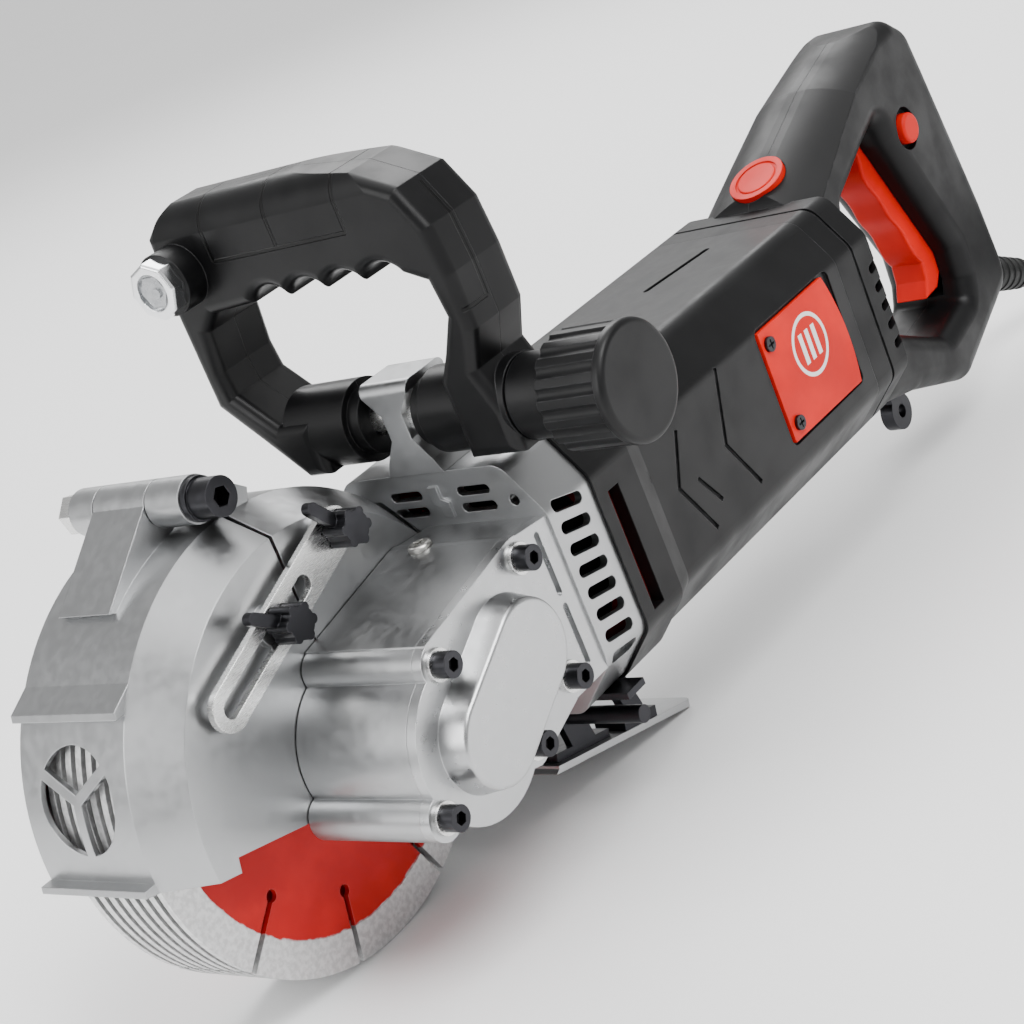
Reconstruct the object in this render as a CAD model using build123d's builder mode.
from build123d import *
import os
from math import atan, cos, degrees, hypot, radians, sin, sqrt, tan

os.makedirs("parts", exist_ok=True)

# Wall chaser with a stack of eight diamond blades.
# Tool frame: x forward along the motor, y to the tool's left, z up from the floor,
# with x = 0 on the spindle axis and y = 0 in the middle of the blade stack.
# The row frame is the tool frame shifted by ROW_X and ROW_Y.
ROW_X = 198.494
ROW_Y = -50.75

# ---- driving dimensions (mm) ----
BLADE_R = 78.0
SPINDLE_Z = BLADE_R                 # the tool stands on its blades and its base plate
TILT = 15.0                         # the motor rises by this against the base plate
MOTOR_Y, MOTOR_Z = 48.0, 92.0
SPUR_CENTRES = 30.0
CROSS_X = -sqrt(SPUR_CENTRES**2 - (MOTOR_Z - SPINDLE_Z) ** 2)
RUN = 0.05                          # radial running clearance

HOUSING_NEAR, HOUSING_FAR = 90.0, 42.4
COVER_THICK, BUMP_NEAR = 4.0, 104.0
TUBE_R = 28.0
FAN_FRONT, FAN_REAR = -65.0, -89.0
CASE_REAR = -268.0
COLLAR_REAR = -302.0
CASE_HALF = 46.0
WALL = 3.0

GUARD_R, GUARD_T = 82.3, 2.0
GUARD_FAR, BAND_NEAR, FACE_NEAR, FACE_R = -25.7, 25.0, 42.0, 73.0
HINGE = (29.4, 87.0)                # guard hinge, from the spindle, in the base plate's directions
ARM_PIVOT = (-5.0, 67.4)
ARM_SCREW = (27.0, 44.9)
SOLE_DROP = 38.0                    # base plate's sole below the spindle axis

SEAM = 75.0                         # guard sections part at this angle, degrees above the base plate
FOOT_V, CUT_V, REAR_CUT_V = -24.0, -19.0, -35.0     # lower edges of the guard's sections
PORT_Y, PORT_V, PORT_R = 0.0, 5.6, 17.5
SPOKES = (35.0, 150.0, 270.0)
KNUCKLE_R, PIN_R = 8.0, 4.0
OUTER_NEAR, KNUCKLE_NEAR, KNUCKLE_FAR, OUTER_FAR = 25.5, 9.2, -16.0, -28.5
BOSS_NEAR, ARM_NEAR, ARM_T = 44.7, 47.6, 2.6
SCREW_R = 2.5
SLOT_START_AT, SLOT_END, SLOT_HALF = (14.0, 54.05), (54.0, 26.0), 3.2

BLADE_COUNT, BLADE_PITCH, BLADE_BORE = 8, 5.0, 11.1
CORE_T, RIM_T, SEGMENT_R = 2.0, 2.6, 65.5
BLADE_SLOTS, SLOT_START, SLOT_R = 10, -39.5, 53.0
STACK_HALF = (BLADE_COUNT - 1) * BLADE_PITCH / 2 + CORE_T / 2
CROSS_R, SHAFT_TIP_R = 5.0, 3.5

SCREW_AT = (-45.0, 56.0, 121.0)     # screw in the gear housing's top
BAR_X, BAR_Z, BAR_R = -72.0, 158.0, 6.0
CORD_R = 4.25


def across(y, x=0.0, z=0.0):
    """Side profile plane: local x forward, local y up, extrudes towards the tool's right."""
    return Plane(origin=(ROW_X + x, ROW_Y + y, z), x_dir=(1, 0, 0), z_dir=(0, -1, 0))


def along(x, y=0.0, z=0.0):
    """Cross-section plane: local x to the left, local y up, extrudes forward."""
    return Plane(origin=(ROW_X + x, ROW_Y + y, z), x_dir=(0, 1, 0), z_dir=(1, 0, 0))


def level(z, x=0.0, y=0.0):
    """Plan plane, extrudes upward."""
    return Plane(origin=(ROW_X + x, ROW_Y + y, z))


def working(y, u=0.0, v=0.0):
    """Side profile plane at the spindle, turned so that local x runs along the base plate."""
    c, s = cos(radians(TILT)), sin(radians(TILT))
    origin = (ROW_X + u * c - v * s, ROW_Y + y, SPINDLE_Z + u * s + v * c)
    return Plane(origin=origin, x_dir=(c, 0, s), z_dir=(0, -1, 0))


def spot(x, y, z):
    """A point of the tool frame in the row frame."""
    return Vector(ROW_X + x, ROW_Y + y, z)


def rod(plane, radius, length):
    """A round bar from the plane."""
    with BuildPart() as bar:
        with BuildSketch(plane):
            Circle(radius)
        extrude(amount=length)
    return bar.part


def ring(plane, outer, inner, length):
    """A round tube from the plane."""
    with BuildPart() as tube:
        with BuildSketch(plane):
            Circle(outer)
            Circle(inner, mode=Mode.SUBTRACT)
        extrude(amount=length)
    return tube.part


def finish(builder, label):
    """Name a finished piece and write it."""
    builder.part.label = label
    export_step(builder.part, f"parts/{label}.step")


def octagon(half):
    """The motor case's cross-section about its own axis, half its width given."""
    side, top = 0.6 * half, 0.74 * half
    with BuildSketch(Plane.XY) as section:
        with BuildLine():
            Polyline(
                (half, -side), (half, side), (top, half), (-top, half),
                (-half, side), (-half, -side), (-side, -half), (side, -half), close=True,
            )
        make_face()
        fillet(section.vertices(), 0.17 * half)
    return section.sketch


BOLTS = {"a": (-46.0, 114.3), "b": (4.0, 105.5), "c": (26.2, 65.3), "d": (-47.1, 70.2), "e": (-20.5, 61.7)}


def housing_outline():
    """Outline shared by the gear housing and its cover, for an across() sketch."""
    with BuildSketch(Plane.XY) as outline:
        with BuildLine():
            Polyline(
                (FAN_FRONT, 62.5), (-47.0, 62.5), (-20.0, 54.0), (0.0, 60.0), (10.0, 104.0),
                (6.0, 113.2), (-44.0, 121.7), (FAN_FRONT, 119.5), close=True,
            )
        make_face()
        with Locations((0, SPINDLE_Z)):
            Circle(TUBE_R)
        with Locations(*BOLTS.values()):
            Circle(7.5)
    return outline.sketch


# =====================================================================
# gear housing, cover and their screws
# =====================================================================

BEARING_FAR = (29.0, 39.0)          # spindle's inner bearing seat, from and to along y
CROSS_SEAT = (29.0, 36.0)

with BuildPart() as gear_housing:
    with BuildSketch(across(HOUSING_NEAR)):
        add(housing_outline())
    extrude(amount=HOUSING_NEAR - HOUSING_FAR)
    with BuildSketch(across(HOUSING_FAR)):
        with Locations((0, SPINDLE_Z)):
            Circle(23)
        with Locations((CROSS_X, MOTOR_Z)):
            Circle(14.5)
        with Locations((-50.5, MOTOR_Z)):
            Rectangle(29, 42)
    extrude(amount=16)
    # gear chambers
    with BuildSketch(across(HOUSING_NEAR)):
        with Locations((0, SPINDLE_Z)):
            Circle(22.5)
        with Locations((CROSS_X, MOTOR_Z)):
            Circle(21.5)
        with Locations((-38.5, MOTOR_Z)):
            Rectangle(24, 24)
    extrude(amount=HOUSING_NEAR - 43.5, mode=Mode.SUBTRACT)
    with BuildSketch(across(44)):
        with Locations((-38.5, MOTOR_Z)):
            Rectangle(24, 24)
    extrude(amount=8.5, mode=Mode.SUBTRACT)
    # bearing seats and shaft holes
    with BuildSketch(across(HOUSING_NEAR)):
        with Locations((0, SPINDLE_Z)):
            Circle(17.5)
    extrude(amount=HOUSING_NEAR - BEARING_FAR[0], mode=Mode.SUBTRACT)
    with BuildSketch(across(44)):
        with Locations((0, SPINDLE_Z)):
            Circle(10)
    extrude(amount=20, mode=Mode.SUBTRACT)
    with BuildSketch(across(44)):
        with Locations((CROSS_X, MOTOR_Z)):
            Circle(11)
    extrude(amount=44 - CROSS_SEAT[0], mode=Mode.SUBTRACT)
    with BuildSketch(along(-64, MOTOR_Y, MOTOR_Z)):
        Circle(17.5)
    extrude(amount=11, mode=Mode.SUBTRACT)
    with BuildSketch(along(-66, MOTOR_Y, MOTOR_Z)):
        Circle(9)
    extrude(amount=18, mode=Mode.SUBTRACT)
    # seat of the screw in the top
    add(rod(level(SCREW_AT[2], SCREW_AT[0], SCREW_AT[1]), 4.5, 3), mode=Mode.SUBTRACT)
    add(rod(level(SCREW_AT[2] - 11, SCREW_AT[0], SCREW_AT[1]), 2.0, 12), mode=Mode.SUBTRACT)
    # tapped holes for the cover
    with BuildSketch(across(HOUSING_NEAR)):
        with Locations(*BOLTS.values()):
            Circle(2.5)
    extrude(amount=14, mode=Mode.SUBTRACT)
finish(gear_housing, "gear_housing")

COVER_NEAR = HOUSING_NEAR + COVER_THICK
BUMP_BASE, BUMP_TOP = 18.4, 16.5
with BuildPart() as gear_cover:
    with BuildSketch(across(COVER_NEAR)):
        add(housing_outline())
    extrude(amount=COVER_THICK)
    # pear-shaped bump over the two shaft ends
    for y, radius in ((COVER_NEAR, BUMP_BASE), (BUMP_NEAR, BUMP_TOP)):
        with BuildSketch(across(y)):
            with Locations((0, SPINDLE_Z), (CROSS_X, MOTOR_Z)):
                Circle(radius)
            make_hull()
    loft()
    rim = gear_cover.faces().sort_by(Axis.Y)[-1].edges()
    fillet(rim, 1.6)
    # bearing pockets
    for x, z, radius in ((0, SPINDLE_Z, 14), (CROSS_X, MOTOR_Z, 11)):
        with BuildSketch(across(101.5)):
            with Locations((x, z)):
                Circle(radius)
        extrude(amount=12, mode=Mode.SUBTRACT)
    with BuildSketch(across(COVER_NEAR)):
        with Locations(*BOLTS.values()):
            Circle(2.75)
    extrude(amount=COVER_THICK, mode=Mode.SUBTRACT)
    # two narrow drain grooves beside the rear edge
    with BuildSketch(across(COVER_NEAR)):
        with Locations((-57.5, 105.8), (-57.5, 79.8)):
            SlotOverall(23, 2.6, rotation=90)
    extrude(amount=2.5, mode=Mode.SUBTRACT)
finish(gear_cover, "gear_cover")

with BuildPart() as cover_washers:
    with BuildSketch(across(COVER_NEAR + 1.2)):
        with Locations(*BOLTS.values()):
            Circle(5.4)
            Circle(2.75, mode=Mode.SUBTRACT)
    extrude(amount=1.2)
finish(cover_washers, "cover_washers")

with BuildPart() as cover_bolts:
    with BuildSketch(across(COVER_NEAR + 6.4)):
        with Locations(*BOLTS.values()):
            Circle(4.25)
    extrude(amount=5.2)
    with BuildSketch(across(COVER_NEAR + 1.2)):
        with Locations(*BOLTS.values()):
            Circle(2.45)
    extrude(amount=17)
    with BuildSketch(across(COVER_NEAR + 6.4)):
        with Locations(*BOLTS.values()):
            RegularPolygon(2.3, 6)
    extrude(amount=3, mode=Mode.SUBTRACT)
finish(cover_bolts, "cover_bolts")

# =====================================================================
# fan housing, air guide and motor case
# =====================================================================

GUARD_GAP = 1.0
with BuildPart() as guard_space:    # room that the fan housing leaves for the rear guard
    with BuildSketch(Plane(origin=spot(0, 0, SPINDLE_Z), x_dir=(0, 1, 0), z_dir=(1, 0, 0))):
        with BuildLine():
            Polyline(
                (-40, 0), (-40, GUARD_R + GUARD_GAP), (BAND_NEAR + GUARD_GAP, GUARD_R + GUARD_GAP),
                (HOUSING_FAR, FACE_R + GUARD_GAP), (HOUSING_FAR, 0), close=True,
            )
        make_face()
    revolve(axis=Axis(spot(0, 0, SPINDLE_Z), (0, 1, 0)))

with BuildPart() as guard_wall:     # the same room and the wall around it
    with BuildSketch(Plane(origin=spot(0, 0, SPINDLE_Z), x_dir=(0, 1, 0), z_dir=(1, 0, 0))):
        with BuildLine():
            Polyline(
                (-40, 0), (-40, GUARD_R + 4), (BAND_NEAR + 2, GUARD_R + 4),
                (HOUSING_FAR + 2, FACE_R + 4), (HOUSING_FAR + 2, 0), close=True,
            )
        make_face()
    revolve(axis=Axis(spot(0, 0, SPINDLE_Z), (0, 1, 0)))

with BuildPart() as fan_cavity:
    with BuildSketch(along(FAN_REAR, MOTOR_Y, MOTOR_Z)):
        add(octagon(CASE_HALF + 1 - WALL))
    extrude(amount=FAN_FRONT - FAN_REAR - 3.5)
    add(guard_wall.part, mode=Mode.SUBTRACT)

VENTS = 8
with BuildPart() as fan_housing:
    with BuildSketch(along(FAN_REAR, MOTOR_Y, MOTOR_Z)):
        add(octagon(CASE_HALF + 1))
    extrude(amount=FAN_FRONT - FAN_REAR)
    add(guard_space.part, mode=Mode.SUBTRACT)
    add(fan_cavity.part, mode=Mode.SUBTRACT)
    # the armature shaft passes through the front wall
    with BuildSketch(along(FAN_REAR, MOTOR_Y, MOTOR_Z)):
        Circle(9)
    extrude(amount=27, mode=Mode.SUBTRACT)
    # louvres in the left side
    with BuildSketch(across(100)):
        for i in range(VENTS):
            with Locations((-76.0, 118.5 - 8.0 * i)):
                SlotOverall(15.5, 4.2, rotation=14 - 0.8 * i)
    extrude(amount=12, mode=Mode.SUBTRACT)
    # crescent of slots in the front wall, above the gear housing
    with BuildSketch(along(-70, 0, 0)):
        for z in (131.0, 125.0):
            with Locations((38.5, z), (68.5, z)):
                SlotOverall(14 if z > 130 else 15, 3.4)
        with Locations((84.0, 126.0)):
            Circle(2.0)
    extrude(amount=8, mode=Mode.SUBTRACT)
    # raised jog between the two groups of slots
    with BuildSketch(along(FAN_FRONT, 0, 0)):
        with BuildLine():
            Polyline((50, 134), (54, 134), (54, 129.5), (57, 128), (57, 122.5), (53, 122.5),
                     (53, 126.5), (50, 128), close=True)
        make_face()
    extrude(amount=1.2)
finish(fan_housing, "fan_housing")

with BuildPart() as air_guide:      # red baffle ring around the fan
    with BuildSketch(along(-105, MOTOR_Y, MOTOR_Z)):
        add(octagon(CASE_HALF - WALL - 0.4))
        Circle(39.5, mode=Mode.SUBTRACT)
    extrude(amount=13)
finish(air_guide, "air_guide")

STATOR_R = 42.5
WEB_REAR, WEB_FRONT = -262.0, -244.0
with BuildPart() as motor_case:
    with BuildSketch(along(CASE_REAR, MOTOR_Y, MOTOR_Z)):
        add(octagon(CASE_HALF))
    extrude(amount=FAN_REAR - CASE_REAR)
    # flared front foot
    flare = [(-121.0, CASE_HALF - 0.2), (-112.0, CASE_HALF + 2.2), (FAN_REAR, CASE_HALF + 2.2)]
    for (rear, rear_half), (fore, fore_half) in zip(flare[:-1], flare[1:]):
        with BuildSketch(along(rear, MOTOR_Y, MOTOR_Z)):
            add(octagon(rear_half))
        with BuildSketch(along(fore, MOTOR_Y, MOTOR_Z)):
            add(octagon(fore_half))
        loft()
    # motor bore, fan chamber and rear bearing web
    with BuildSketch(along(WEB_FRONT, MOTOR_Y, MOTOR_Z)):
        Circle(STATOR_R)
    extrude(amount=FAN_REAR - WEB_FRONT, mode=Mode.SUBTRACT)
    with BuildSketch(along(-105.5, MOTOR_Y, MOTOR_Z)):
        add(octagon(CASE_HALF - WALL))
    extrude(amount=FAN_REAR + 105.5, mode=Mode.SUBTRACT)
    with BuildSketch(along(WEB_REAR + 8, MOTOR_Y, MOTOR_Z)):
        Circle(11)
    extrude(amount=WEB_FRONT - WEB_REAR, mode=Mode.SUBTRACT)
    with BuildSketch(along(CASE_REAR, MOTOR_Y, MOTOR_Z)):
        add(octagon(CASE_HALF - WALL))
    extrude(amount=WEB_REAR - CASE_REAR, mode=Mode.SUBTRACT)
    with BuildSketch(along(CASE_REAR, MOTOR_Y, MOTOR_Z)):
        Circle(6)
    extrude(amount=26, mode=Mode.SUBTRACT)
    # slots that show the red air guide, both sides
    with BuildSketch(across(110)):
        with Locations((-98, 89.5)):
            Rectangle(6.5, 45)
    extrude(amount=124, mode=Mode.SUBTRACT)
    # recess for the label plate
    with BuildSketch(across(MOTOR_Y + CASE_HALF)):
        with Locations((-231.8, 96)):
            RectangleRounded(57, 47, 3)
    extrude(amount=1.2, mode=Mode.SUBTRACT)
    # chevron grooves on both flanks
    chevrons = [
        [(-142, 111), (-132.5, 93), (-145, 71)],
        [(-175, 119), (-165.5, 93), (-177.5, 72)],
        [(-117, 114), (-119.5, 102)],
        [(-144, 91), (-153, 78)],
    ]
    for y, depth in ((MOTOR_Y + CASE_HALF, 1.0), (MOTOR_Y - CASE_HALF + 1.0, 1.0)):
        with BuildSketch(across(y)):
            for line in chevrons:
                with BuildLine():
                    Polyline(*line)
                trace(line_width=1.8)
        extrude(amount=depth, mode=Mode.SUBTRACT)
    # long air slot in the top
    with BuildSketch(level(MOTOR_Z + CASE_HALF)):
        with Locations((-234, MOTOR_Y)):
            SlotOverall(40, 2.6, rotation=-8)
    extrude(amount=-1.6, mode=Mode.SUBTRACT)
finish(motor_case, "motor_case")

LABEL_SCREWS = [(-209, 112), (-210, 79.5)]
with BuildPart() as label_plate:
    with BuildSketch(across(MOTOR_Y + CASE_HALF + 0.6)):
        with BuildLine():
            Polyline((-257.5, 73.5), (-204.5, 74), (-204.5, 118), (-254.5, 118.5))
            ThreePointArc((-254.5, 118.5), (-259.4, 97), (-257.5, 73.5))
        make_face()
        with Locations(*LABEL_SCREWS):
            Circle(1.6, mode=Mode.SUBTRACT)
    extrude(amount=1.8)
finish(label_plate, "label_plate")

with BuildPart() as label_screws:
    with BuildSketch(across(MOTOR_Y + CASE_HALF + 1.9)):
        with Locations(*LABEL_SCREWS):
            Circle(2.9)
    extrude(amount=1.3)
    with BuildSketch(across(MOTOR_Y + CASE_HALF + 0.6)):
        with Locations(*LABEL_SCREWS):
            Circle(1.5)
    extrude(amount=1.8)
    with BuildSketch(across(MOTOR_Y + CASE_HALF + 1.9)):
        with Locations(*LABEL_SCREWS):
            Rectangle(3.8, 0.8)
            Rectangle(0.8, 3.8)
    extrude(amount=0.8, mode=Mode.SUBTRACT)
finish(label_screws, "label_screws")

# =====================================================================
# motor and gear train
# =====================================================================

with BuildPart() as stator:
    add(ring(along(-190, MOTOR_Y, MOTOR_Z), STATOR_R - 0.05, 30, 70))
    # two pole shoes
    with BuildSketch(along(-185, MOTOR_Y, MOTOR_Z)):
        Circle(31)
        Circle(26.5, mode=Mode.SUBTRACT)
        Rectangle(80, 22, mode=Mode.SUBTRACT)
    extrude(amount=60)
finish(stator, "stator")

# ---- gears ----
SPUR_MODULE, SPUR_TEETH, PINION_TEETH = 1.5, 26, 14
BEVEL_MODULE, BEVEL_TEETH, BEVEL_PINION_TEETH = 1.5, 21, 11
BEVEL_FACE = 6.0                    # tooth length along the cone
BEVEL_CONE = BEVEL_MODULE / 2 * hypot(BEVEL_TEETH, BEVEL_PINION_TEETH)
BEVEL_SMALL = 1 - BEVEL_FACE / BEVEL_CONE
PINION_BACK = BEVEL_MODULE * BEVEL_TEETH / 2         # large end's distance from the shafts' crossing
GEAR_BACK = BEVEL_MODULE * BEVEL_PINION_TEETH / 2


def toothed(teeth, root, tip, first=0.0, bore=0.0):
    """A gear's face: straight-flanked teeth, one of them centred on the first angle."""
    half = 0.36 * 180 / teeth
    corners = []
    for i in range(teeth):
        middle = first + 360 * i / teeth
        for radius, spread in ((root, -1.3), (tip, -0.6), (tip, 0.6), (root, 1.3)):
            a = radians(middle + spread * half)
            corners.append((radius * cos(a), radius * sin(a)))
    with BuildSketch(Plane.XY) as gear_face:
        with BuildLine():
            Polyline(*corners, close=True)
        make_face()
        if bore:
            Circle(bore, mode=Mode.SUBTRACT)
    return gear_face.sketch


def bevel_face(teeth, pitch_angle, distance, first):
    """A bevel gear's face in a plane at this distance from the crossing of the two axes."""
    addendum = degrees(0.8 * BEVEL_MODULE / BEVEL_CONE)
    dedendum = degrees(1.2 * BEVEL_MODULE / BEVEL_CONE)
    root = distance * tan(radians(pitch_angle - dedendum))
    tip = distance * tan(radians(pitch_angle + addendum))
    return toothed(teeth, root, tip, first)


ARMATURE_R = 25.8
with BuildPart() as armature_shaft:
    add(rod(along(-258, MOTOR_Y, MOTOR_Z), 4.0, 20))
    add(rod(along(-240, MOTOR_Y, MOTOR_Z), 6.0, 176))
    add(rod(along(-66, MOTOR_Y, MOTOR_Z), 7.5, 16))
    add(rod(along(-52, MOTOR_Y, MOTOR_Z), SHAFT_TIP_R, 52 + CROSS_X - PINION_BACK * BEVEL_SMALL))
finish(armature_shaft, "armature_shaft")

SLOTS = 12
with BuildPart() as armature_core:
    add(ring(along(-188, MOTOR_Y, MOTOR_Z), ARMATURE_R, 6.0, 66))
    with BuildSketch(along(-188, MOTOR_Y, MOTOR_Z)):
        with PolarLocations(ARMATURE_R - 1, SLOTS):
            Rectangle(6, 2.4)
    extrude(amount=66, mode=Mode.SUBTRACT)
    add(ring(along(-198, MOTOR_Y, MOTOR_Z), 21, 6.0, 10))
    add(ring(along(-122, MOTOR_Y, MOTOR_Z), 21, 6.0, 9))
finish(armature_core, "armature_core")

with BuildPart() as commutator:
    add(ring(along(-232, MOTOR_Y, MOTOR_Z), 15, 6.0, 22))
finish(commutator, "commutator")

BLADES_OF_FAN = 13
with BuildPart() as cooling_fan:
    add(ring(along(-95.5, MOTOR_Y, MOTOR_Z), 37.5, 6.0, 2))
    add(ring(along(-103, MOTOR_Y, MOTOR_Z), 11, 6.0, 9))
    with BuildSketch(along(-103, MOTOR_Y, MOTOR_Z)):
        with PolarLocations(24, BLADES_OF_FAN):
            Rectangle(26.5, 1.6, rotation=16)
    extrude(amount=8)
finish(cooling_fan, "cooling_fan")

with BuildPart() as motor_bearings:
    add(ring(along(-64, MOTOR_Y, MOTOR_Z), 17.5, 7.5 + RUN, 11))
    add(ring(along(-253.5, MOTOR_Y, MOTOR_Z), 11, 4.0 + RUN, 7))
finish(motor_bearings, "motor_bearings")

with BuildPart() as bevel_pinion:
    angle = degrees(atan(BEVEL_PINION_TEETH / BEVEL_TEETH))
    for distance in (PINION_BACK, PINION_BACK * BEVEL_SMALL):
        with BuildSketch(along(CROSS_X - distance, MOTOR_Y, MOTOR_Z)):
            add(bevel_face(BEVEL_PINION_TEETH, angle, distance, 0))
    loft(ruled=True)
    add(rod(along(-50, MOTOR_Y, MOTOR_Z), 6.3, 50 + CROSS_X - PINION_BACK))
    add(rod(along(-50, MOTOR_Y, MOTOR_Z), SHAFT_TIP_R, 30), mode=Mode.SUBTRACT)
finish(bevel_pinion, "bevel_pinion")

with BuildPart() as bevel_gear:
    angle = degrees(atan(BEVEL_TEETH / BEVEL_PINION_TEETH))
    space_first = 180 + 180 / BEVEL_TEETH
    for distance in (GEAR_BACK, GEAR_BACK * BEVEL_SMALL):
        with BuildSketch(across(MOTOR_Y + distance, CROSS_X, MOTOR_Z)):
            add(bevel_face(BEVEL_TEETH, angle, distance, space_first))
    loft(ruled=True)
    add(rod(across(MOTOR_Y + GEAR_BACK + 4, CROSS_X, MOTOR_Z), 13.0, 4))
    add(rod(across(MOTOR_Y + GEAR_BACK + 10, CROSS_X, MOTOR_Z), 9.0, 6))
    add(rod(across(MOTOR_Y + 30, CROSS_X, MOTOR_Z), CROSS_R, 40), mode=Mode.SUBTRACT)
finish(bevel_gear, "bevel_gear")

SPUR_NEAR, SPUR_WIDE = 88.0, 12.0
MESH_ANGLE = degrees(atan((MOTOR_Z - SPINDLE_Z) / CROSS_X)) + 180

with BuildPart() as cross_shaft:
    add(rod(across(101, CROSS_X, MOTOR_Z), 4.0, 72))
    add(rod(across(93.5, CROSS_X, MOTOR_Z), CROSS_R, 57))
finish(cross_shaft, "cross_shaft")

with BuildPart() as spur_pinion:
    pitch_r = SPUR_MODULE * PINION_TEETH / 2
    with BuildSketch(across(SPUR_NEAR + 1, CROSS_X, MOTOR_Z)):
        first = MESH_ANGLE + 180 + 180 / PINION_TEETH
        add(toothed(PINION_TEETH, pitch_r - 1.9, pitch_r + 1.3, first, CROSS_R))
    extrude(amount=SPUR_WIDE + 2)
finish(spur_pinion, "spur_pinion")

with BuildPart() as cross_shaft_bearings:
    add(ring(across(101, CROSS_X, MOTOR_Z), 11, 4.0 + RUN, 7))
    add(ring(across(36, CROSS_X, MOTOR_Z), 11, 4.0 + RUN, 7))
finish(cross_shaft_bearings, "cross_shaft_bearings")

with BuildPart() as spindle:
    add(rod(across(101, 0, SPINDLE_Z), 6.0, 12))
    add(rod(across(90, 0, SPINDLE_Z), 8.5, 68))
    add(rod(across(24.5, 0, SPINDLE_Z), 14.0, 2.1))
    add(rod(across(23, 0, SPINDLE_Z), BLADE_BORE, 45.4))
    add(rod(across(-22, 0, SPINDLE_Z), 8.0, 9))
finish(spindle, "spindle")

with BuildPart() as spur_gear:
    pitch_r = SPUR_MODULE * SPUR_TEETH / 2
    with BuildSketch(across(SPUR_NEAR, 0, SPINDLE_Z)):
        add(toothed(SPUR_TEETH, pitch_r - 1.9, pitch_r + 1.3, MESH_ANGLE, 8.5))
    extrude(amount=SPUR_WIDE)
finish(spur_gear, "spur_gear")

with BuildPart() as spindle_bearings:
    add(ring(across(101, 0, SPINDLE_Z), 14, 6.0 + RUN, 8))
    add(ring(across(39, 0, SPINDLE_Z), 17.5, 8.5 + RUN, 10))
finish(spindle_bearings, "spindle_bearings")

# =====================================================================
# blade stack
# =====================================================================

with BuildPart() as blades:
    for i in range(BLADE_COUNT):
        y = BLADE_PITCH * (i - (BLADE_COUNT - 1) / 2)
        for thick, outer, inner in ((CORE_T, SEGMENT_R, BLADE_BORE), (RIM_T, BLADE_R, SEGMENT_R)):
            with BuildSketch(across(y + thick / 2, 0, SPINDLE_Z)):
                Circle(outer)
                Circle(inner, mode=Mode.SUBTRACT)
                with PolarLocations(0, BLADE_SLOTS, start_angle=SLOT_START):
                    with Locations((SLOT_R, 0)):
                        Circle(2.2, mode=Mode.SUBTRACT)
                    with Locations((SLOT_R + 15, 0)):
                        Rectangle(30, 2.2, mode=Mode.SUBTRACT)
            extrude(amount=thick)
finish(blades, "blades")

with BuildPart() as blade_spacers:
    for i in range(BLADE_COUNT - 1):
        y = BLADE_PITCH * (i - BLADE_COUNT / 2 + 1)
        half = (BLADE_PITCH - CORE_T) / 2
        add(ring(across(y + half, 0, SPINDLE_Z), 24, BLADE_BORE, 2 * half))
finish(blade_spacers, "blade_spacers")

with BuildPart() as clamp_flanges:
    add(ring(across(STACK_HALF + 3.9, 0, SPINDLE_Z), 25, BLADE_BORE, 3.9))
    add(ring(across(-STACK_HALF, 0, SPINDLE_Z), 25, BLADE_BORE, 3.9))
finish(clamp_flanges, "clamp_flanges")

with BuildPart() as spindle_nut:
    with BuildSketch(across(-STACK_HALF - 3.9, 0, SPINDLE_Z)):
        RegularPolygon(12, 6, major_radius=False)
        Circle(8, mode=Mode.SUBTRACT)
    extrude(amount=8)
finish(spindle_nut, "spindle_nut")

# =====================================================================
# blade guards, their hinge and the slotted arm
# =====================================================================

def guard_shell():
    """The whole round guard; each section keeps its own part of it."""
    with BuildPart() as shell:
        with BuildSketch(Plane(origin=spot(0, 0, SPINDLE_Z), x_dir=(0, 1, 0), z_dir=(1, 0, 0))):
            with BuildLine():
                Polyline(
                    (-35, 0), (-35, 25), (GUARD_FAR, 34), (GUARD_FAR, GUARD_R), (BAND_NEAR, GUARD_R),
                    (FACE_NEAR, FACE_R), (FACE_NEAR, 0), (FACE_NEAR - GUARD_T, 0),
                    (FACE_NEAR - GUARD_T, FACE_R - 1.1), (BAND_NEAR - 0.6, GUARD_R - GUARD_T),
                    (GUARD_FAR + GUARD_T, GUARD_R - GUARD_T), (GUARD_FAR + GUARD_T, 33),
                    (-33, 24), (-33, 0), close=True,
                )
            make_face()
        revolve(axis=Axis(spot(0, 0, SPINDLE_Z), (0, 1, 0)))
    return shell.part


def seam_point(angle, radius=130):
    return (radius * cos(radians(angle)), radius * sin(radians(angle)))


LEFT_OF_FACE = 60.0                 # a plane clear of the guard's left side
FACE_SPLIT = 30.0                   # left of this the sections part around the gear housing's neck

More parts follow.
